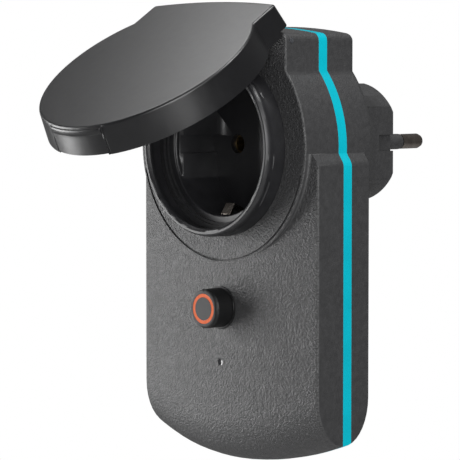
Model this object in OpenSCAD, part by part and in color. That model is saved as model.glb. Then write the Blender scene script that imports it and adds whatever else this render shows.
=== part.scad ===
// Outdoor smart plug: Schuko plug at the back, lidded Schuko socket and push button at the front.
// The origin is the middle of the plug's contact face, on the line between the two pins.
// +Y points into the wall, +Z up and +X to the right as the user sees it.
// A height h below is measured from the contact face towards the user, so y = -h.

/* [Housing] */
// Radius of the round upper housing
boss_r = 36.5; // [35:0.5:38]
// Half the width of the neck that carries the hinge
neck_half = 28; // [26:0.5:30]
// Highest point of the neck above the socket's centre
neck_top = 36.9; // [36.5:0.1:37.5]
// Radius of the neck's crowned top
neck_top_r = 172; // [120:1:250]
// Radius of the neck's two upper corners
neck_corner = 2.5; // [1.5:0.1:3]
// Height h of the round housing's rear face
boss_rear = 30.3; // [29.5:0.1:31]
// Height h of the round housing's front face
boss_front = 61.4; // [61:0.1:61.6]
// Half the width of the lower housing
body_half = 38.6; // [38.2:0.1:39.5]
// How far the lower housing reaches below the socket's centre
body_drop = 98.2; // [97.5:0.1:100]
// Height h of the lower housing's rear face
body_rear = 35.8; // [35.4:0.1:36]
// Height h of the lower housing's front face on its centre line
crown_front = 61.9; // [61.8:0.1:62.2]
// Radius of the front face, which is crowned from side to side
crown_r = 190; // [180:1:220]
// Radius of the bottom edge as seen from the front
bottom_r = 104; // [95:1:120]
// Rear and front heights h of the coloured band
band = [43.4, 47];
// Thickness of the housing walls
wall = 2.4; // [2.2:0.1:2.6]
// Radius of the rounding around the rear face
rear_round = 3; // [1:0.5:3]

/* [Socket] */
// Radius of the recess that takes a plug
recess_r = 21.5; // [21.5:0.1:22]
// Depth of the recess behind the front face
recess_depth = 16.4; // [16.2:0.1:17]
// Distance from the centre to the flats at the sides of the recess
recess_flat = 19; // [18.5:0.1:19.5]
// Outer radius of the collar that stands around the recess
collar_r = 27.8; // [27.5:0.1:28]
// How far the collar stands in front of the round housing
collar_out = 7.6; // [7:0.1:7.7]

/* [Plug] */
// Distance between the pins
pin_spacing = 19; // [19:0.1:19.2]
// Radius of a pin
pin_r = 2.4; // [2.35:0.01:2.45]
// Length of a pin beyond the contact face
pin_length = 19; // [18:0.1:20]
// Radius of the round plug
plug_r = 19.1; // [19:0.1:19.6]
// Distance from the centre to the flats at the sides of the plug
plug_flat = 15.5; // [15.2:0.1:16.5]

/* [Lid] */
// Opening angle of the lid at rest, measured from closed
lid_angle = 57.8; // [0:0.1:84.8]
// Height h of the closed lid's outer face
lid_front = 71.2; // [71.1:0.1:71.8]
// Gap between the closed lid's rim and the housing
lid_gap = 0.3; // [0.2:0.1:0.5]
// Thickness of the lid's walls at the rim
lid_wall = 2.2; // [2:0.1:2.4]
// Height h of the hinge axis
hinge_h = 58.8; // [58.6:0.1:59]
// Height of the hinge axis above the socket's centre
hinge_z = 32.6; // [32.5:0.1:32.8]
// Radius of the hinge pin
hinge_r = 0.8; // [0.7:0.05:0.9]

/* [Button and light] */
// How far the button's centre lies below the socket's centre
button_drop = 50; // [49:0.1:51]
// Radius of the button
button_r = 6.1; // [6:0.05:6.2]
// How far the button stands out of the front face
button_out = 7.2; // [6.5:0.1:7.5]
// How far the light's centre lies below the socket's centre
led_drop = 67; // [66.5:0.1:67.5]
// Radius of the light guide
led_r = 1.1; // [1:0.05:1.3]

/* [Hidden] */
$fn = 96;

shell_colour = [0.25, 0.25, 0.26];
black_plastic = [0.1, 0.1, 0.11];
rubber_black = [0.05, 0.05, 0.05];
nickel = [0.72, 0.7, 0.67];
brass = [0.8, 0.65, 0.32];
steel = [0.6, 0.6, 0.62];

// Lower housing: the flanks swell out below the round part, and the bottom corners are elliptical
shoulder_in = 36.2;
shoulder_top = -0.5;
shoulder_fall = 5;
front_corner = [11.5, 15.1];
rear_corner = [10.6, 14.3];
corner_steps = 9;
mid_steps = 16;
shoulder_steps = 8;
side_round = 0.7;
edge_round = 0.7;
round_steps = 6;
split = band[1];
band_depth = 1.2;

// Radius of the shallow round seat that the front face has below the lid
seat_r = 35.3;

// Housing screws, all driven from behind
screw_places = [for (s = [-1, 1], p = [[21.5, 28.5], [32.4, -26], [32.4, -78]]) [s * p[0], p[1]]];
screw_r = 1.45;
screw_hole_r = 1.5;
post_r = 3.4;
screw_seat = 38;
screw_tip = 54.5;

// Circuit board and what it carries
board = [[-27, 27], [50, 51.6], [-84, -38]];
board_screw_places = [for (x = [-23, 23], z = [-80, -42]) [x, z]];

insert_front = boss_front - wall;
flat_front = boss_front - 1.8;
recess_floor = boss_front - recess_depth;
floor_back = recess_floor - 2;
cup_r = recess_r + 2;
flange_r = 31.5;
flange_top = 28.5;
contact_x = pin_spacing / 2;
contact_bore_r = pin_r + 0.05;
contact_r = 3.2;
contact_end = 26;

plug_wall = 6;
plug_bore_r = 15.6;
plug_flange = [boss_rear + wall, boss_rear + wall + 2];
earth_channel_z = 17.9;
earth_tube_z = 10;
pin_boss = 8.9;
shank_r = 1.9;

lid_rim = boss_front + lid_gap;
lid_inner = lid_front - 1.4;
lid_draft = 1.2;
arm_half = 16;
bezel_bore_r = button_r + 0.07;
button_z = -button_drop;
button_front = crown_front + button_out;

// ---- shared shapes ----

// Points of an arc from angle a0 to angle a1, with radii rx and rz
function arc(cx, cz, rx, rz, a0, a1, n) =
    [for (i = [0:n]) let (a = a0 + (a1 - a0) * i / n) [cx + rx * cos(a), cz + rz * sin(a)]];

// Outline of the neck, shrunk by off: straight sides, round corners and a crowned top
function neck_points(off) =
    let (
        w = neck_half - off,
        c = max(neck_corner - off, 0.4),
        top_r = neck_top_r - off,
        top_z = neck_top - neck_top_r,
        corner_z = top_z + sqrt(pow(top_r - c, 2) - pow(w - c, 2)),
        lean = atan2(corner_z - top_z, w - c)
    )
    concat(
        [[w, 0]],
        arc(w - c, corner_z, c, c, 0, lean, 5),
        [for (i = [1:11]) let (a = lean + (180 - 2 * lean) * i / 12)
            [top_r * cos(a), top_z + top_r * sin(a)]],
        arc(c - w, corner_z, c, c, 180 - lean, 180, 5),
        [[-w, 0]]
    );

// Where the lower housing's surfaces lie at a distance x from the middle
function front_h(x) = crown_front - x * x / (2 * crown_r);
function side_drop(x) =
    let (d = max(0, abs(x) - body_half + side_round))
    side_round - sqrt(max(0, side_round * side_round - d * d));
function bottom_z(x) = -body_drop + x * x / (2 * bottom_r);
function shoulder_z(x) =
    let (t = max(0, (abs(x) - shoulder_in) / (body_half - shoulder_in)))
    shoulder_top - shoulder_fall * acos(1 - 2 * min(1, t)) / 180;

// Stations across the lower housing, closer together on its shoulders
right_side = [for (i = [1:shoulder_steps])
    shoulder_in + (body_half - shoulder_in) * (1 - cos(180 * i / shoulder_steps)) / 2];
stations = concat(
    [for (i = [shoulder_steps - 1:-1:0]) -right_side[i]],
    [for (i = [0:mid_steps]) -shoulder_in + 2 * shoulder_in * i / mid_steps],
    right_side
);

// Outline of the lower housing as seen from the front, shrunk by off
function lower_points(off) = concat(
    [for (x = stations) [x - sign(x) * off, shoulder_z(x)]],
    [for (i = [len(stations) - 1:-1:0]) let (x = stations[i]) [x - sign(x) * off, bottom_z(x) + off]]
);

// Side profile of the lower housing at x
function side_profile(x) = concat(
    [[body_rear, shoulder_z(x)], [front_h(x) - side_drop(x), shoulder_z(x)]],
    arc(front_h(x) - front_corner[0], bottom_z(x) + front_corner[1],
        front_corner[0] - side_drop(x), front_corner[1], 0, -90, corner_steps),
    arc(body_rear + rear_corner[0], bottom_z(x) + rear_corner[1],
        rear_corner[0], rear_corner[1], 270, 180, corner_steps)
);

// Rows [h, off] of a rounded edge of radius e: at the rear face, and at a front face
function rear_rows(h, e) =
    [for (i = [0:round_steps]) let (a = 90 * i / round_steps) [h + e * (1 - cos(a)), e * (1 - sin(a))]];
function front_rows(h, e) =
    [for (i = [0:round_steps]) let (a = 90 * i / round_steps) [h - e * (1 - sin(a)), e * (1 - cos(a))]];

// A strip of thickness t along a path of points [h, z], with mitred corners
function unit(v) = v / norm(v);
function miter(p, i) =
    let (
        into = unit(p[max(i, 1)] - p[max(i, 1) - 1]),
        out = i < len(p) - 1 ? unit(p[i + 1] - p[i]) : into,
        along = unit(into + out)
    )
    [-along[1], along[0]] / (along * out);
function ribbon(p, t) = concat(
    [for (i = [0:len(p) - 1]) p[i] + miter(p, i) * t / 2],
    [for (i = [len(p) - 1:-1:0]) p[i] - miter(p, i) * t / 2]
);

// A flat shape drawn as x and z, extruded between two heights h
module along_y(h0, h1) {
    rotate([90, 0, 0]) translate([0, 0, h0]) linear_extrude(h1 - h0) children();
}

// A flat shape drawn as h and z, extruded between two places x
module along_x(x0, x1) {
    translate([x0, 0, 0]) rotate([90, 0, 90]) linear_extrude(x1 - x0) mirror([1, 0]) children();
}

// A ring turned around the socket's axis from points [radius, h]
module turned(points) {
    rotate([90, 0, 0]) rotate_extrude($fn = 160) polygon(points);
}

module rod(r, h0, h1, x = 0, z = 0) {
    translate([x, 0, z]) rotate([90, 0, 0]) translate([0, 0, h0]) cylinder(r = r, h = h1 - h0);
}

module block(x, h, z) {
    translate([x[0], -h[1], z[0]]) cube([x[1] - x[0], h[1] - h[0], z[1] - z[0]]);
}

// A closed skin over rings of equal point counts
module skin(rings) {
    n = len(rings[0]);
    last = (len(rings) - 1) * n;
    sides = [for (i = [0:len(rings) - 2], j = [0:n - 1])
        let (a = i * n + j, b = i * n + (j + 1) % n)
        each [[a, b + n, b], [a, a + n, b + n]]];
    polyhedron(
        [for (ring = rings) each ring],
        concat([[for (j = [0:n - 1]) j]], sides, [[for (j = [n - 1:-1:0]) last + j]])
    );
}

// The neck as a solid through rows [h, off]
module neck(rows) {
    skin([for (row = rows) [for (p = neck_points(row[1])) [p[0], -row[0], p[1]]]]);
}

// The lower housing between two heights
module lower_body(h0, h1) {
    intersection() {
        skin([for (x = stations) [for (p = side_profile(x)) [x, -p[0], p[1]]]]);
        block([-50, 50], [h0, h1], [-120, 20]);
    }
}

// Flat outline of the round housing with its neck, shrunk by off
module boss_outline(off) {
    circle(r = boss_r - off, $fn = 160);
    polygon(neck_points(off));
}

// The whole housing's outline, shrunk by off, as a slab between two heights
module housing_slab(h0, h1, off) {
    along_y(h0, h1) boss_outline(off);
    along_y(h0, h1) polygon(lower_points(off));
}

// The room inside the two shells
module inner_space() {
    along_y(boss_rear + wall, insert_front) boss_outline(wall);
    intersection() {
        along_y(body_rear + 2, crown_front) polygon(lower_points(wall));
        translate([0, crown_r - crown_front, -110]) cylinder(r = crown_r - wall, h = 110, $fn = 360);
        along_x(-body_half, body_half) polygon([
            [38, 5], [60.2, 5], [60.2, -78], [56, -86], [50, -93.5],
            [47, -95.5], [43, -94], [40.5, -88], [38, -80]
        ]);
    }
}

// ---- housing ----

module front_outer() {
    neck(concat([[split, 0]], front_rows(boss_front, edge_round)));
    turned(concat(
        [[0, split], [boss_r, split]],
        [for (row = front_rows(boss_front, edge_round)) [boss_r - row[1], row[0]]],
        [[0, boss_front]]
    ));
    lower_body(split, crown_front + 1);
}

module hinge_block() {
    intersection() {
        block([-neck_half, neck_half], [54.6, 60.9], [28.7, neck_top]);
        along_y(54, 61) boss_outline(0.5);
    }
}

// A ring of the given radii cut into the front, only below the socket's centre line
module seat_groove() {
    difference() {
        rod(seat_r + 0.35, boss_front - 0.5, crown_front + 1);
        rod(seat_r - 0.35, boss_front - 1, crown_front + 2);
        block([-50, 50], [50, 70], [-8, 50]);
    }
}

module front_shell() {
    color(shell_colour) difference() {
        union() {
            difference() {
                front_outer();
                inner_space();
            }
            hinge_block();
            for (p = screw_places) {
                rod(post_r, split, p[1] > 0 ? 59.5 : 57.6, p[0], p[1]);
            }
            for (p = board_screw_places) {
                rod(2.6, board[1][1], 59, p[0], p[1]);
            }
        }
        // flush with the round seat of the lid
        rod(seat_r - 0.35, boss_front, crown_front + 1);
        seat_groove();
        rod(collar_r + 0.1, 50, crown_front + 1);
        rod(6.75, 50, crown_front + 1, 0, button_z);
        rod(led_r + 0.05, 50, crown_front + 1, 0, -led_drop);
        block([-arm_half - 0.6, arm_half + 0.6], [hinge_h - 2.1, 64], [hinge_z - 2.1, 45]);
        translate([-30, -hinge_h, hinge_z]) rotate([0, 90, 0]) cylinder(r = hinge_r + 0.01, h = 60);
        for (p = screw_places) {
            rod(screw_hole_r, split - 1, screw_tip + 0.5, p[0], p[1]);
        }
        for (p = board_screw_places) {
            rod(1, board[1][1] - 1, 57, p[0], p[1]);
        }
    }
}

module rear_outer() {
    neck(concat(rear_rows(boss_rear, rear_round), [[band[0], 0]]));
    turned(concat(
        [[0, boss_rear]],
        [for (row = rear_rows(boss_rear, rear_round)) [boss_r - row[1], row[0]]],
        [[boss_r, band[0]], [0, band[0]]]
    ));
    lower_body(body_rear - 1, band[0]);
}

module rear_shell() {
    color(shell_colour) difference() {
        union() {
            difference() {
                union() {
                    rear_outer();
                    // tongue that the band and the seal sit on
                    housing_slab(band[0] - 0.5, split - 0.8, band_depth);
                }
                inner_space();
            }
            for (p = screw_places) {
                rod(post_r, (p[1] > 0 ? boss_rear : body_rear) + 1, split, p[0], p[1]);
            }
        }
        rod(plug_r + 0.1, boss_rear - 1, boss_rear + wall + 1);
        for (p = screw_places) {
            rod(3, boss_rear - 1, screw_seat, p[0], p[1]);
            rod(screw_hole_r + 0.1, screw_seat - 1, split + 1, p[0], p[1]);
        }
    }
}

module trim_band() {
    color([0, 0.74, 0.83]) difference() {
        union() {
            along_y(band[0], band[1]) boss_outline(0);
            lower_body(band[0], band[1]);
        }
        housing_slab(band[0] - 1, band[1] + 1, band_depth);
    }
}

module housing_seal() {
    color(rubber_black) difference() {
        housing_slab(split - 0.8, split, band_depth);
        housing_slab(split - 2, split + 1, wall);
    }
}

module housing_screws() {
    color(steel) for (p = screw_places) {
        difference() {
            rod(2.7, screw_seat - 1.9, screw_seat, p[0], p[1]);
            rod(1.2, screw_seat - 3, screw_seat - 0.9, p[0], p[1], $fn = 6);
        }
        rod(screw_r, screw_seat, screw_tip, p[0], p[1]);
    }
}

// ---- socket ----

module socket_insert() {
    rim = boss_front + collar_out;
    color(black_plastic) difference() {
        turned([
            [0, floor_back], [cup_r, floor_back], [cup_r, insert_front - 2.3],
            [flange_r, insert_front - 2.3], [flange_r, insert_front], [collar_r, insert_front],
            [collar_r, rim - 3.2], [collar_r - 0.35, rim - 2.8], [collar_r, rim - 2.1],
            [collar_r - 0.1, rim - 1.2], [collar_r - 0.6, rim - 0.3], [collar_r - 1, rim],
            [collar_r - 1.5, rim], [collar_r - 2.3, rim - 0.6], [collar_r - 2.5, rim - 1.1],
            [collar_r - 2.5, boss_front + 5.4], [collar_r - 1.5, boss_front + 4.7],
            [collar_r - 1.5, boss_front], [recess_r + 0.4, boss_front], [recess_r, boss_front - 0.4],
            [recess_r, flat_front], [0, flat_front]
        ]);
        // the space for the plug, flat at its sides
        along_y(recess_floor, boss_front) intersection() {
            circle(r = recess_r);
            square([2 * recess_flat, 60], center = true);
        }
        block([-20.5, 20.5], [recess_floor, boss_front], [-2.85, 2.85]);
        for (s = [-1, 1]) {
            rod(3, floor_back - 1, recess_floor + 1, s * contact_x, 0);
            // slot for the earth clip
            translate([0, 0, s * 21.35])
                block([-2.4, 2.4], [floor_back - 1, flat_front], [-1.35, 1.35]);
        }
        // room for the hinge block
        block([-40, 40], [floor_back, insert_front], [flange_top, 40]);
    }
}

module collar_seal() {
    color(rubber_black) turned([
        [23.6, boss_front], [26.2, boss_front], [26.2, boss_front + 1.6],
        [24.5, boss_front + 1.6], [24.5, boss_front + 0.8], [23.6, boss_front + 0.8]
    ]);
}

module contact(s) {
    color(brass) difference() {
        rod(contact_r, contact_end, floor_back, s * contact_x, 0);
        rod(contact_bore_r, contact_end - 1, floor_back + 1, s * contact_x, 0);
    }
}

module contact_left() {
    contact(-1);
}

module contact_right() {
    contact(1);
}

// Sprung strip on both sides of the recess, joined behind its floor
module earth_clip() {
    h = floor_back - 0.4;
    arm = [[h, 22.2], [58.2, 22.2], [59.2, 21.1], [57.2, 18.2], [51.9, 20.6]];
    path = concat([for (i = [len(arm) - 1:-1:0]) [arm[i][0], -arm[i][1]]], arm);
    color(nickel) along_x(-2, 2) polygon(ribbon(path, 0.8));
}

// ---- plug ----

module plug_insert() {
    color(black_plastic) difference() {
        union() {
            intersection() {
                turned([
                    [0, 0], [plug_r - 0.8, 0], [plug_r, 0.8], [plug_r, plug_flange[0]],
                    [0, plug_flange[0]]
                ]);
                block([-plug_flat, plug_flat], [-1, 40], [-30, 30]);
            }
            rod(23, plug_flange[0], plug_flange[1]);
            for (s = [-1, 1]) {
                translate([s * contact_x, 0, 0]) turned([
                    [0, -pin_boss], [pin_r, -pin_boss], [pin_r + 0.1, 0.5 - pin_boss],
                    [pin_r + 0.1, 0.5], [0, 0.5]
                ]);
            }
        }
        intersection() {
            rod(plug_bore_r, plug_wall, 40);
            block([1.7 - plug_flat, plug_flat - 1.7], [0, 41], [-20, 20]);
        }
        rod(3.02, -1, plug_wall + 1, 0, earth_tube_z);
        for (s = [-1, 1]) {
            rod(shank_r + 0.02, -pin_boss - 1, plug_wall + 1, s * contact_x, 0);
            // key groove in each flat
            translate([s * plug_flat, 0, 0]) block([-1.2, 1.2], [-1, 6.6], [-2.6, 2.6]);
            // channel for the earth strap, which runs on through the flange
            translate([0, 0, s * (earth_channel_z + 3)]) block([-3.3, 3.3], [-1, 40], [-3, 3]);
        }
    }
}

module pin(s) {
    color(nickel) translate([s * contact_x, 0, 0]) turned([
        [0, -pin_length], [pin_r - 1.3, -pin_length], [pin_r - 0.45, -pin_length + 0.5],
        [pin_r, -pin_length + 1.6], [pin_r, -pin_boss - 0.3], [shank_r, -pin_boss - 0.3],
        [shank_r, plug_wall], [3.4, plug_wall], [3.4, plug_wall + 1.5],
        [1.2, plug_wall + 1.5], [1.2, plug_wall + 3.2], [0, plug_wall + 3.2]
    ]);
}

module pin_left() {
    pin(-1);
}

module pin_right() {
    pin(1);
}

// Earth strips above and below the plug, joined behind it to each other and to the earth clip
module earth_strap() {
    z = 18.5;
    bridge = 36;
    color(nickel) {
        along_x(-2.9, 2.9) polygon(ribbon([
            [1.2, -z + 0.2], [3, -z], [bridge, -z], [bridge, z], [3, z], [1.2, z - 0.2]
        ], 0.8));
        block([-2.9, 2.9], [bridge, floor_back - 0.8], [-2, 2]);
    }
}

module earth_tube() {
    color(nickel) difference() {
        rod(3, 0.3, 35.6, 0, earth_tube_z);
        rod(2.45, 0, 18, 0, earth_tube_z);
    }
}

// ---- current paths ----

module line_in_strap() {
    x = -contact_x;
    seat = plug_wall + 1.9;
    color(brass) difference() {
        along_x(x - 2.5, x + 2.5) polygon(ribbon([
            [seat, 3.4], [seat, -8.4], [38.9, -8.4], [38.9, -47.4], [board[1][0], -47.4]
        ], 0.8));
        rod(1.22, plug_wall + 1, 12, x, 0);
    }
}

module line_out_strap() {
    x = -contact_x;
    color(brass) difference() {
        along_x(x - 4.5, x + 4.5) polygon(ribbon([
            [41.4, 4.4], [41.4, -43.6], [board[1][0], -43.6]
        ], 0.8));
        rod(contact_r + 0.01, 30, 45, x, 0);
    }
}

module neutral_strap() {
    x = contact_x;
    seat = plug_wall + 1.9;
    color(brass) difference() {
        union() {
            along_x(x - 2.5, x + 2.5) polygon(ribbon([
                [seat, 3.4], [seat, -8.4], [38.9, -8.4], [38.9, -47.4], [board[1][0], -47.4]
            ], 0.8));
            block([x - 4.5, x + 4.5], [38.5, 39.3], [-8.8, 4.4]);
        }
        rod(1.22, plug_wall + 1, 12, x, 0);
        rod(contact_r + 0.01, 30, 45, x, 0);
    }
}

// ---- lid ----

// Turns what is drawn closed to its place at rest
module opened() {
    translate([0, -hinge_h, hinge_z]) rotate([-lid_angle, 0, 0])
        translate([0, hinge_h, -hinge_z]) children();
}

module lid() {
    lip_half = 11;
    rows = [for (row = front_rows(lid_front, 0.9)) [row[0], row[1] + lid_draft]];
    color([0.3, 0.3, 0.3]) opened() difference() {
        union() {
            difference() {
                union() {
                    neck(concat([[lid_rim, 0]], rows));
                    turned(concat(
                        [[0, lid_rim], [boss_r, lid_rim]],
                        [for (row = rows) [boss_r - row[1], row[0]]],
                        [[0, lid_front]]
                    ));
                }
                along_y(lid_rim - 1, lid_inner) boss_outline(lid_wall);
            }
            // finger lip at the free end
            intersection() {
                turned([
                    [34.6, lid_front - 2.9], [35.9, lid_front - 2.6], [36, lid_front - 1.2],
                    [35.7, lid_front - 0.7], [34.6, lid_front - 0.5]
                ]);
                block([-lip_half, lip_half], [60, 80], [-50, -20]);
            }
            // ribs that hold the seal
            turned([
                [collar_r + 0.5, lid_inner - 1.8], [collar_r + 1.5, lid_inner - 1.8],
                [collar_r + 1.7, lid_inner], [collar_r + 0.5, lid_inner]
            ]);
            turned([
                [collar_r - 2.9, lid_inner - 0.9], [collar_r - 1.9, lid_inner - 0.9],
                [collar_r - 1.9, lid_inner], [collar_r - 3.1, lid_inner]
            ]);
            // knuckle and the arm that joins it to the end wall
            translate([-arm_half, -hinge_h, hinge_z]) rotate([0, 90, 0])
                cylinder(r = 1.5, h = 2 * arm_half);
            block([-arm_half, arm_half], [hinge_h, 66.4], [hinge_z - 1.5, hinge_z + 1.4]);
            block([-arm_half, arm_half], [63.4, 66.4], [hinge_z, 35.2]);
        }
        // the end wall stops short of the housing, so that it clears the neck as it opens
        for (s = [-1, 1]) {
            translate([s * (arm_half + 10.01), 0, 0]) block([-10, 10], [55, 63.3], [hinge_z - 2.5, 45]);
        }
        block([-40, 40], [60.5, 63.3], [hinge_z + 1.4, 45]);
        // relief over the crown of the lower housing
        block([-lip_half, lip_half], [lid_rim - 1, crown_front + 0.2], [-40, -30]);
        // the two ends of the finger lip run down to the rim as thin lines
        for (s = [-1, 1]) {
            translate([s * (lip_half + 0.4), 0, 0]) along_x(-0.3, 0.3) polygon([
                [lid_rim - 1, -34.4], [lid_front + 1, -33.1], [lid_front + 1, -40], [lid_rim - 1, -40]
            ]);
        }
        translate([-30, -hinge_h, hinge_z]) rotate([0, 90, 0]) cylinder(r = hinge_r + 0.06, h = 60);
    }
}

module lid_seal() {
    color(rubber_black) opened() turned([
        [collar_r - 1.8, lid_inner - 0.6], [collar_r + 0.4, lid_inner - 0.6],
        [collar_r + 0.4, lid_inner], [collar_r - 1.8, lid_inner]
    ]);
}

module hinge_pin() {
    color(steel) translate([-neck_half - 0.2, -hinge_h, hinge_z]) rotate([0, 90, 0])
        cylinder(r = hinge_r, h = 2 * neck_half + 0.4);
}

// ---- button and light ----

module about_button(points) {
    translate([0, 0, button_z]) turned(points);
}

module button_cap() {
    color(black_plastic) difference() {
        about_button([
            [0, 55.6], [2.2, 55.6], [2.2, 56.2], [7, 56.2], [7, 57.2], [button_r, 57.2],
            [button_r, 58.8], [5.2, 58.8], [5.2, 60], [button_r, 60],
            [button_r, button_front - 1.1], [button_r - 0.15, button_front - 0.6],
            [button_r - 0.5, button_front - 0.2], [button_r - 1.1, button_front], [0, button_front]
        ]);
        about_button([
            [3.58, button_front - 3], [4.67, button_front - 3], [4.67, button_front + 1],
            [3.58, button_front + 1]
        ]);
    }
}

module button_ring() {
    color([1, 0.42, 0.16]) about_button([
        [3.6, button_front - 3], [4.65, button_front - 3], [4.65, button_front - 0.05],
        [3.6, button_front - 0.05]
    ]);
}

module button_seal() {
    color(rubber_black) about_button([[5.22, 58.82], [6.15, 58.82], [6.15, 59.98], [5.22, 59.98]]);
}

module button_bezel() {
    color(black_plastic) about_button([
        [bezel_bore_r, 57.4], [6.7, 57.4], [6.7, crown_front + 0.3], [6.5, crown_front + 0.5],
        [bezel_bore_r, crown_front + 0.5]
    ]);
}

module tact_switch() {
    color([0.2, 0.2, 0.2]) difference() {
        block([-3, 3], [board[1][1], 54.3], [button_z - 3, button_z + 3]);
        rod(1.7, 51.9, 55, 0, button_z);
    }
}

module switch_plunger() {
    color([0.7, 0.2, 0.15]) rod(1.64, 52.6, 55.6, 0, button_z);
}

module led_lens() {
    color([0.5, 0.5, 0.5]) translate([0, 0, -led_drop]) turned([
        [0, 52.6], [led_r, 52.6], [led_r, crown_front - 0.3], [0.9, crown_front - 0.4],
        [0.5, crown_front - 0.55], [0, crown_front - 0.6]
    ]);
}

module status_led() {
    color("white") block([-1, 1], [board[1][1], 52.4], [-led_drop - 0.6, -led_drop + 0.6]);
}

// ---- electronics ----

module circuit_board() {
    color([0.08, 0.32, 0.16]) difference() {
        block(board[0], board[1], board[2]);
        for (p = board_screw_places) {
            rod(1.1, board[1][0] - 1, board[1][1] + 1, p[0], p[1]);
        }
    }
}

module board_screws() {
    color(steel) for (p = board_screw_places) {
        rod(1.9, board[1][0] - 1.3, board[1][0], p[0], p[1]);
        rod(0.95, board[1][0], 56.5, p[0], p[1]);
    }
}

module relay() {
    color([0.1, 0.25, 0.5]) block([-24, 4.5], [38.5, board[1][0]], [-62.5, -52.4]);
}

module transformer() {
    color([0.85, 0.75, 0.3]) block([9, 21], [40, board[1][0]], [-67, -55]);
    color([0.2, 0.2, 0.2]) block([10.5, 19.5], [39.2, 40], [-65.5, -56.5]);
}

module bulk_capacitor() {
    color([0.15, 0.15, 0.3]) rod(5, 39, board[1][0], -17, -74);
}

module film_capacitor() {
    color([0.75, 0.6, 0.2]) block([-6, 7], [39, board[1][0]], [-79, -73]);
}

module radio_module() {
    color([0.7, 0.7, 0.72]) block([-8, 8], [board[1][1], 54.4], [-83, -71]);
}

front_shell();
rear_shell();
trim_band();
housing_seal();
housing_screws();
socket_insert();
collar_seal();
contact_left();
contact_right();
earth_clip();
plug_insert();
pin_left();
pin_right();
earth_strap();
earth_tube();
line_in_strap();
line_out_strap();
neutral_strap();
lid();
lid_seal();
hinge_pin();
button_cap();
button_ring();
button_seal();
button_bezel();
tact_switch();
switch_plunger();
led_lens();
status_led();
circuit_board();
board_screws();
relay();
transformer();
bulk_capacitor();
film_capacitor();
radio_module();
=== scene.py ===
# Outdoor smart plug: a lidded socket and a push button in front, a plug with two pins behind.
# The look of every moulded, plated and stamped part, with the light and the camera.
import math
import bpy
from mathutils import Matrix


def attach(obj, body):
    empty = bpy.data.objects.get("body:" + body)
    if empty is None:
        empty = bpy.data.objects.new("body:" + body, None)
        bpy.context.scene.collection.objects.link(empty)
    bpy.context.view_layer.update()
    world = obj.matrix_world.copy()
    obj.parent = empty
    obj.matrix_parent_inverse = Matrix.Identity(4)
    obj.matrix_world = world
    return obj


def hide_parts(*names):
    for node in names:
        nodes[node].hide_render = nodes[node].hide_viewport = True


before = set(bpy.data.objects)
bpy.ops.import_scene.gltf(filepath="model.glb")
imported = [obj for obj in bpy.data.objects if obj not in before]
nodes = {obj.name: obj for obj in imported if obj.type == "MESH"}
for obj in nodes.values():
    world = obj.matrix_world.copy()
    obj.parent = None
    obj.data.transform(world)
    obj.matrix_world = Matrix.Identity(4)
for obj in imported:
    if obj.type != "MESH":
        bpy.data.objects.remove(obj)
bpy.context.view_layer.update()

MM = 0.001
WELD = 0.001 * MM          # points closer than this are one point
CREASE = math.radians(34)  # faces that meet more sharply than this keep a hard edge


# ---- colours and nodes ----

def linear(hex_colour):
    """An sRGB hex colour as linear RGBA."""
    values = [int(hex_colour[i:i + 2], 16) / 255 for i in (1, 3, 5)]
    return [v / 12.92 if v <= 0.04045 else ((v + 0.055) / 1.055) ** 2.4 for v in values] + [1.0]


def add_node(tree, kind, settings=None, **links):
    """Adds a node, sets its properties and joins or fills its sockets. A socket's spaces are written as _."""
    node = tree.nodes.new(kind)
    for key, value in (settings or {}).items():
        setattr(node, key, value)
    for key, value in links.items():
        name = key.replace("_", " ")
        socket = node.inputs[int(name[1:])] if name[1:].isdigit() else node.inputs[name]
        if isinstance(value, bpy.types.NodeSocket):
            tree.links.new(value, socket)
        else:
            socket.default_value = value
    return node


def per_mm(size):
    """The texture scale that gives features of this size in millimetres."""
    return 1 / (size * MM)


def new_material(name, **shader_values):
    """An empty surface material: returns it with its tree, its shader and the object coordinates."""
    material = bpy.data.materials.new(name)
    material.use_nodes = True
    tree = material.node_tree
    tree.nodes.clear()
    shader = add_node(tree, "ShaderNodeBsdfPrincipled")
    for key, value in shader_values.items():
        shader.inputs[key.replace("_", " ")].default_value = value
    output = add_node(tree, "ShaderNodeOutputMaterial")
    tree.links.new(shader.outputs[0], output.inputs[0])
    place = add_node(tree, "ShaderNodeTexCoord").outputs["Object"]
    return material, tree, shader, place


def tint(tree, shader, place, low, high, size, detail=2.0):
    """Lets the base colour drift between two hex colours in patches of a size in millimetres."""
    patches = add_node(tree, "ShaderNodeTexNoise", Vector=place, Scale=per_mm(size), Detail=detail)
    ramp = add_node(tree, "ShaderNodeValToRGB", Fac=patches.outputs[0])
    ramp.color_ramp.elements[0].position = 0.35
    ramp.color_ramp.elements[1].position = 0.65
    ramp.color_ramp.elements[0].color = linear(low)
    ramp.color_ramp.elements[1].color = linear(high)
    tree.links.new(ramp.outputs[0], shader.inputs["Base Color"])


def gloss(tree, shader, place, low, high, size, detail=3.0):
    """Lets the roughness drift between two values in patches of a size in millimetres."""
    patches = add_node(tree, "ShaderNodeTexNoise", Vector=place, Scale=per_mm(size), Detail=detail)
    spread = add_node(tree, "ShaderNodeMapRange", Value=patches.outputs[0],
                      From_Min=0.3, From_Max=0.7, To_Min=low, To_Max=high)
    tree.links.new(spread.outputs[0], shader.inputs["Roughness"])


def relief(tree, shader, height, depth, strength=1.0, under=None):
    """Raises a height pattern by a depth in millimetres, over another relief if there is one."""
    bump = add_node(tree, "ShaderNodeBump", Strength=strength, Distance=depth * MM, Height=height)
    if under is not None:
        tree.links.new(under, bump.inputs["Normal"])
    tree.links.new(bump.outputs[0], shader.inputs["Normal"])
    return bump.outputs[0]


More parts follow.
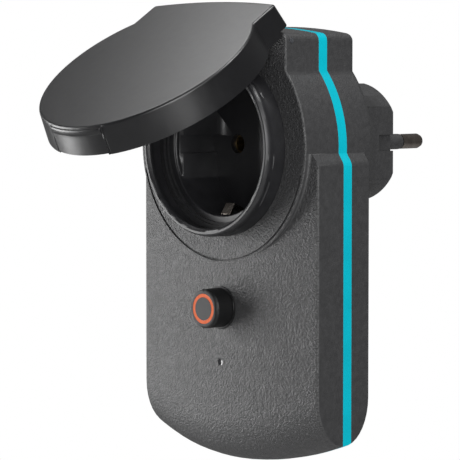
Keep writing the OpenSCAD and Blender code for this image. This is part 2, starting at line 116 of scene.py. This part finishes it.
def maths(tree, operation, a, b):
    """Two values joined by one operation."""
    return add_node(tree, "ShaderNodeMath", {"operation": operation}, _0=a, _1=b).outputs[0]


# ---- finishes ----

def grained_polycarbonate():
    # Moulded polycarbonate from a spark-eroded, leather-grained tool: soft pebbles that catch the light on
    # the front, and a finer, flatter grain on the faces that slide out of the tool.
    material, tree, shader, place = new_material("moulded_polycarbonate_leather_grain", IOR=1.58)
    tint(tree, shader, place, "#2a2a2b", "#303031", 1.4)
    gloss(tree, shader, place, 0.46, 0.6, 2.0)
    bend = add_node(tree, "ShaderNodeTexNoise", Vector=place, Scale=per_mm(1.6), Detail=1.0)
    bent = add_node(tree, "ShaderNodeVectorMath", {"operation": "MULTIPLY_ADD"},
                    _0=bend.outputs["Color"], _1=(0.0009,) * 3, _2=place)
    pebbles = add_node(tree, "ShaderNodeTexVoronoi", {"feature": "SMOOTH_F1"},
                       Vector=bent.outputs[0], Scale=per_mm(0.7), Smoothness=0.8)
    grit = add_node(tree, "ShaderNodeTexNoise", Vector=place, Scale=per_mm(0.4), Detail=3.0)
    coarse = maths(tree, "MULTIPLY", pebbles.outputs["Distance"], -0.6)
    fine = maths(tree, "MULTIPLY", grit.outputs[0], 0.6)
    grain = maths(tree, "ADD", coarse, fine)
    # faces square to the tool's opening carry the full grain, and the drawn sides little of it
    facing = add_node(tree, "ShaderNodeSeparateXYZ",
                      Vector=add_node(tree, "ShaderNodeNewGeometry").outputs["True Normal"])
    front = add_node(tree, "ShaderNodeMapRange", Value=facing.outputs["Y"],
                     From_Min=-0.75, From_Max=-0.35, To_Min=1.0, To_Max=0.22)
    height = maths(tree, "MULTIPLY", grain, front.outputs[0])
    relief(tree, shader, height, 0.42)
    return material


def satin_lid_plastic():
    # Moulded ABS from a finely blasted tool: an even satin face with a faint orange peel on its sides.
    material, tree, shader, place = new_material("moulded_abs_satin", IOR=1.54)
    tint(tree, shader, place, "#0c0c0e", "#0f0f11", 6.0)
    gloss(tree, shader, place, 0.33, 0.36, 3.0)
    peel = add_node(tree, "ShaderNodeTexNoise", Vector=place, Scale=per_mm(0.9), Detail=2.0)
    under = relief(tree, shader, peel.outputs[0], 0.006)
    blast = add_node(tree, "ShaderNodeTexNoise", Vector=place, Scale=per_mm(0.35), Detail=2.0)
    relief(tree, shader, blast.outputs[0], 0.01, under=under)
    return material


def band_plastic():
    # Two-shot moulded TPE stripe: strong turquoise, silky, with very slight flow marks along it.
    material, tree, shader, place = new_material("moulded_tpe_turquoise", IOR=1.5, Specular_IOR_Level=0.15)
    tint(tree, shader, place, "#009fb0", "#01a5b6", 9.0)
    gloss(tree, shader, place, 0.42, 0.52, 4.0)
    flow = add_node(tree, "ShaderNodeTexNoise", Vector=place, Scale=per_mm(0.7), Detail=2.0)
    relief(tree, shader, flow.outputs[0], 0.012)
    return material


def socket_polyamide():
    # Glass-filled polyamide, moulded: dense black with an even satin sheen and a very fine skin.
    material, tree, shader, place = new_material("moulded_polyamide_black", IOR=1.53)
    tint(tree, shader, place, "#19191b", "#1f1f21", 5.0)
    gloss(tree, shader, place, 0.36, 0.42, 3.0)
    skin = add_node(tree, "ShaderNodeTexNoise", Vector=place, Scale=per_mm(0.5), Detail=3.0)
    relief(tree, shader, skin.outputs[0], 0.004)
    return material


def polished_button_plastic():
    # ABS from a fine-sanded tool: deep black with a soft sheen and a trace of finger wear on its face.
    material, tree, shader, place = new_material("moulded_abs_satin_black", IOR=1.5, Specular_IOR_Level=0.35)
    tint(tree, shader, place, "#0a0a0b", "#0d0d0e", 3.0)
    gloss(tree, shader, place, 0.5, 0.56, 1.5)
    wear = add_node(tree, "ShaderNodeTexNoise", Vector=place, Scale=per_mm(0.8), Detail=3.0)
    relief(tree, shader, wear.outputs[0], 0.006)
    return material


def orange_ring_with_painted_glow():
    # Moulded translucent polycarbonate light ring, orange through and through; a faint orange emission paints a
    # glow on it, though no lamp is inside it.
    material, tree, shader, place = new_material(
        "moulded_polycarbonate_orange_painted_glow", IOR=1.58, Emission_Strength=0.08, Specular_IOR_Level=0.12)
    # painted glow: the ring gives off a little orange light of its own
    shader.inputs["Emission Color"].default_value = linear("#ff5a1e")
    tint(tree, shader, place, "#ac460a", "#b64c0e", 1.5)
    gloss(tree, shader, place, 0.25, 0.35, 1.0)
    cloud = add_node(tree, "ShaderNodeTexNoise", Vector=place, Scale=per_mm(0.6), Detail=2.0)
    relief(tree, shader, cloud.outputs[0], 0.008)
    return material


def seal_rubber():
    # Moulded EPDM rubber: dull black with a dusty bloom and a fine ground texture.
    material, tree, shader, place = new_material("moulded_epdm_rubber", IOR=1.5)
    tint(tree, shader, place, "#0f0f10", "#17171a", 1.2)
    gloss(tree, shader, place, 0.6, 0.78, 1.5)
    skin = add_node(tree, "ShaderNodeTexNoise", Vector=place, Scale=per_mm(0.3), Detail=4.0)
    relief(tree, shader, skin.outputs[0], 0.02)
    return material


def plated_nickel():
    # Brass turned on a lathe, then nickel plated: warm grey metal with faint rings round its axis.
    material, tree, shader, place = new_material("nickel_plated_turned_brass", Metallic=1.0)
    tint(tree, shader, place, "#857d77", "#958e87", 2.5)
    gloss(tree, shader, place, 0.2, 0.3, 1.0)
    rings = add_node(tree, "ShaderNodeTexWave", {"bands_direction": "Y", "wave_profile": "SIN"},
                     Vector=place, Scale=per_mm(0.35) / 20, Distortion=1.5, Detail=2.0)
    relief(tree, shader, rings.outputs[0], 0.004)
    return material


def stamped_brass():
    # Rolled brass strip, stamped: dulled yellow-grey metal with fine rolling lines.
    material, tree, shader, place = new_material("rolled_brass_strip", Metallic=1.0)
    tint(tree, shader, place, "#85714c", "#9a845c", 2.0)
    gloss(tree, shader, place, 0.28, 0.42, 1.0)
    lines = add_node(tree, "ShaderNodeTexWave", {"bands_direction": "Z", "wave_profile": "SIN"},
                     Vector=place, Scale=per_mm(0.25) / 20, Distortion=2.0, Detail=2.0)
    relief(tree, shader, lines.outputs[0], 0.004)
    return material


def zinc_steel():
    # Cold-headed steel with a bright zinc plating: pale metal, softly mottled.
    material, tree, shader, place = new_material("zinc_plated_steel", Metallic=1.0)
    tint(tree, shader, place, "#8d9096", "#a9abb0", 0.8)
    gloss(tree, shader, place, 0.28, 0.4, 0.5)
    mottle = add_node(tree, "ShaderNodeTexNoise", Vector=place, Scale=per_mm(0.3), Detail=3.0)
    relief(tree, shader, mottle.outputs[0], 0.006)
    return material


def board_laminate():
    # Glass-epoxy laminate under green solder mask: glossy green over a faint square weave.
    material, tree, shader, place = new_material("glass_epoxy_solder_mask", IOR=1.55, Coat_Weight=0.4)
    tint(tree, shader, place, "#124d2a", "#176034", 3.0)
    gloss(tree, shader, place, 0.3, 0.4, 2.0)
    warp = add_node(tree, "ShaderNodeTexWave", {"bands_direction": "X"}, Vector=place, Scale=per_mm(0.5) / 20)
    weft = add_node(tree, "ShaderNodeTexWave", {"bands_direction": "Z"}, Vector=place, Scale=per_mm(0.5) / 20)
    weave = maths(tree, "ADD", warp.outputs[1], weft.outputs[1])
    relief(tree, shader, weave, 0.01)
    return material


def cased_component(name, low, high):
    """Moulded PBT component case: a plain even colour with a fine matt skin."""
    material, tree, shader, place = new_material(name, IOR=1.55)
    tint(tree, shader, place, low, high, 2.5)
    gloss(tree, shader, place, 0.38, 0.5, 1.5)
    skin = add_node(tree, "ShaderNodeTexNoise", Vector=place, Scale=per_mm(0.35), Detail=3.0)
    relief(tree, shader, skin.outputs[0], 0.01)
    return material


def tinned_can():
    # Tin-plated steel shield, pressed: bright soft metal with spangle.
    material, tree, shader, place = new_material("tin_plated_steel_can", Metallic=1.0)
    tint(tree, shader, place, "#a8abae", "#bec1c4", 1.5)
    gloss(tree, shader, place, 0.22, 0.36, 1.0)
    spangle = add_node(tree, "ShaderNodeTexVoronoi", Vector=place, Scale=per_mm(1.4))
    relief(tree, shader, spangle.outputs["Distance"], 0.006)
    return material


def smoked_light_guide():
    # Moulded smoked polycarbonate: the shell's own charcoal, but clear and shiny, so that it reads as a window.
    material, tree, shader, place = new_material("moulded_polycarbonate_smoked", IOR=1.58, Coat_Weight=0.5)
    tint(tree, shader, place, "#2c2c2e", "#333336", 1.0)
    gloss(tree, shader, place, 0.18, 0.28, 0.8)
    skin = add_node(tree, "ShaderNodeTexNoise", Vector=place, Scale=per_mm(0.5), Detail=2.0)
    relief(tree, shader, skin.outputs[0], 0.006)
    return material


finishes = {
    "shell": grained_polycarbonate(),
    "lid_plastic": satin_lid_plastic(),
    "band_plastic": band_plastic(),
    "black_plastic": socket_polyamide(),
    "button_plastic": polished_button_plastic(),
    "ring_plastic": orange_ring_with_painted_glow(),
    "seal_rubber": seal_rubber(),
    "nickel": plated_nickel(),
    "brass": stamped_brass(),
    "steel": zinc_steel(),
    "board_laminate": board_laminate(),
    "component_plastic": cased_component("moulded_pbt_dark", "#15161a", "#1c1d22"),
    "component_yellow": cased_component("taped_winding_yellow", "#c9a52a", "#d9b63a"),
    "can_metal": tinned_can(),
    "light_guide": smoked_light_guide(),
}


# ---- pieces ----

def deselect_all():
    bpy.ops.object.select_all(action="DESELECT")


def smoothed_copy(node, name, slot, body, edge):
    """The CAD part as moulded: its facets smoothed and, if edge isn't 0, its sharp edges rounded by it in mm."""
    deselect_all()
    piece = bpy.data.objects.new(name, nodes[node].data.copy())
    bpy.context.scene.collection.objects.link(piece)
    bpy.context.view_layer.objects.active = piece
    piece.select_set(True)
    bpy.ops.object.mode_set(mode="EDIT")
    bpy.ops.mesh.select_all(action="SELECT")
    bpy.ops.mesh.remove_doubles(threshold=WELD)
    bpy.ops.mesh.dissolve_limited(angle_limit=math.radians(0.4))
    bpy.ops.object.mode_set(mode="OBJECT")
    if edge:
        round_edges = piece.modifiers.new("round_edges", "BEVEL")
        round_edges.width = edge * MM
        round_edges.segments = 2
        round_edges.limit_method = "ANGLE"
        round_edges.angle_limit = math.radians(38)
        round_edges.use_clamp_overlap = False
        round_edges.miter_outer = "MITER_ARC"
        bpy.ops.object.modifier_apply(modifier=round_edges.name)
    bpy.ops.object.shade_smooth_by_angle(angle=CREASE)
    # the large faces keep their own normals, and the narrow ones beside them take the bend
    even = piece.modifiers.new("even_normals", "WEIGHTED_NORMAL")
    even.keep_sharp = True
    bpy.ops.object.modifier_apply(modifier=even.name)
    piece.data.materials.clear()
    piece.data.materials.append(finishes[slot])
    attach(piece, body)
    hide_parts(node)


# each moulded or formed part that shows: its CAD node, its finish, its body, and the radius of its edges
# where the CAD part has none
for node, name, slot, body, edge in (
    ("front_shell", "front_moulding", "shell", "housing", 0),
    ("rear_shell", "rear_moulding", "shell", "housing", 0),
    ("trim_band", "turquoise_band", "band_plastic", "housing", 0),
    ("socket_insert", "socket_moulding", "black_plastic", "housing", 0),
    ("plug_insert", "plug_moulding", "shell", "housing", 0),
    ("lid", "lid_moulding", "lid_plastic", "lid", 0.16),
    ("button_cap", "button_moulding", "button_plastic", "button", 0),
    ("button_bezel", "bezel_moulding", "button_plastic", "housing", 0),
    ("pin_left", "left_pin", "nickel", "housing", 0),
    ("pin_right", "right_pin", "nickel", "housing", 0),
    ("earth_clip", "earth_spring", "nickel", "housing", 0.08),
    ("earth_strap", "earth_side_strip", "nickel", "housing", 0.08),
):
    smoothed_copy(node, name, slot, body, edge)

plain_finish = {
    "housing_seal": "seal_rubber", "housing_screws": "steel", "collar_seal": "seal_rubber",
    "contact_left": "brass", "contact_right": "brass", "earth_tube": "nickel",
    "line_in_strap": "brass", "line_out_strap": "brass", "neutral_strap": "brass",
    "lid_seal": "seal_rubber", "hinge_pin": "steel", "button_ring": "ring_plastic",
    "button_seal": "seal_rubber", "tact_switch": "component_plastic", "switch_plunger": "component_plastic",
    "led_lens": "light_guide", "status_led": "light_guide", "circuit_board": "board_laminate",
    "board_screws": "steel", "relay": "component_plastic", "transformer": "component_yellow",
    "bulk_capacitor": "component_plastic", "film_capacitor": "component_yellow",
    "radio_module": "can_metal",
}
for node, slot in plain_finish.items():
    part = nodes[node]
    part.data.materials.clear()
    part.data.materials.append(finishes[slot])
    weld = part.modifiers.new("weld", "WELD")
    weld.merge_threshold = WELD
    for face in part.data.polygons:
        face.use_smooth = True
    crease = part.modifiers.new("crease", "EDGE_SPLIT")
    crease.split_angle = CREASE


# ---- floor, light and camera ----

def box_light(name, azimuth, elevation, distance, size, power, aim=(0.0, -0.05, -0.02)):
    """A soft box at a bearing round the plug, turned towards it."""
    a, e = math.radians(azimuth), math.radians(elevation)
    back = (math.sin(a) * math.cos(e), -math.cos(a) * math.cos(e), math.sin(e))
    data = bpy.data.lights.new(name, "AREA")
    data.shape = "RECTANGLE"
    data.size, data.size_y = size
    data.energy = power
    lamp = bpy.data.objects.new(name, data)
    bpy.context.scene.collection.objects.link(lamp)
    lamp.location = [aim[i] + back[i] * distance for i in range(3)]
    lamp.rotation_euler = (math.radians(90 - elevation), 0, a)


def pale_floor():
    """A wide pale floor below the plug, which hangs from its pins."""
    deselect_all()
    bpy.ops.mesh.primitive_plane_add(size=6.7, location=(0, 0, -0.8))
    floor = bpy.context.object
    floor.name = "pale_floor"
    material, tree, shader, place = new_material("painted_board_white", Roughness=0.8)
    shader.inputs["Base Color"].default_value = linear("#dedede")
    floor.data.materials.append(material)


def studio_world(below, above):
    """White behind the plug, and a dim room that is darker below than above for everything it lights."""
    world = bpy.data.worlds.new("studio")
    bpy.context.scene.world = world
    world.use_nodes = True
    tree = world.node_tree
    tree.nodes.clear()
    up = add_node(tree, "ShaderNodeSeparateXYZ", Vector=add_node(tree, "ShaderNodeTexCoord").outputs["Generated"])
    room = add_node(tree, "ShaderNodeMapRange", Value=up.outputs["Z"],
                    From_Min=-0.35, From_Max=0.9, To_Min=below, To_Max=above)
    dim = add_node(tree, "ShaderNodeBackground", Color=(1, 1, 1, 1), Strength=room.outputs[0])
    white = add_node(tree, "ShaderNodeBackground", Color=(1, 1, 1, 1), Strength=1.0)
    seen = add_node(tree, "ShaderNodeLightPath").outputs["Is Camera Ray"]
    mixed = add_node(tree, "ShaderNodeMixShader", _0=seen, _1=dim.outputs[0], _2=white.outputs[0])
    add_node(tree, "ShaderNodeOutputWorld", Surface=mixed.outputs[0])


pale_floor()
studio_world(0.14, 0.17)
bpy.context.scene.view_settings.view_transform = "Standard"

# one soft box is mirrored in the front face, one in the lid near its hinge, and one lights the right side;
# the top and edge boxes draw the thin bright lines along the roundings
box_light("front_box", -60, -2, 0.75, (0.35, 0.7), 7.2)
box_light("lid_box", -92, 58, 0.28, (0.16, 0.16), 0.36, aim=(0.01, -0.055, 0.045))
box_light("side_box", 60, 10, 1.0, (0.6, 0.9), 9)
box_light("top_box", 112, 66, 0.9, (0.3, 0.3), 5)
box_light("edge_box", 44, 8, 1.2, (0.1, 0.7), 3.0)

# camera: its place, its azimuth and elevation, and its focal length
azimuth, elevation = 45.983, 3.749
camera_data = bpy.data.cameras.new("camera")
camera_data.sensor_width = 36.0
camera_data.lens = 224.216
camera_data.clip_start, camera_data.clip_end = 0.1, 30
camera = bpy.data.objects.new("camera", camera_data)
bpy.context.scene.collection.objects.link(camera)
camera.location = (0.638562, -0.674627, 0.032035)
camera.rotation_euler = (math.radians(90 - elevation), 0, math.radians(azimuth))
bpy.context.scene.camera = camera
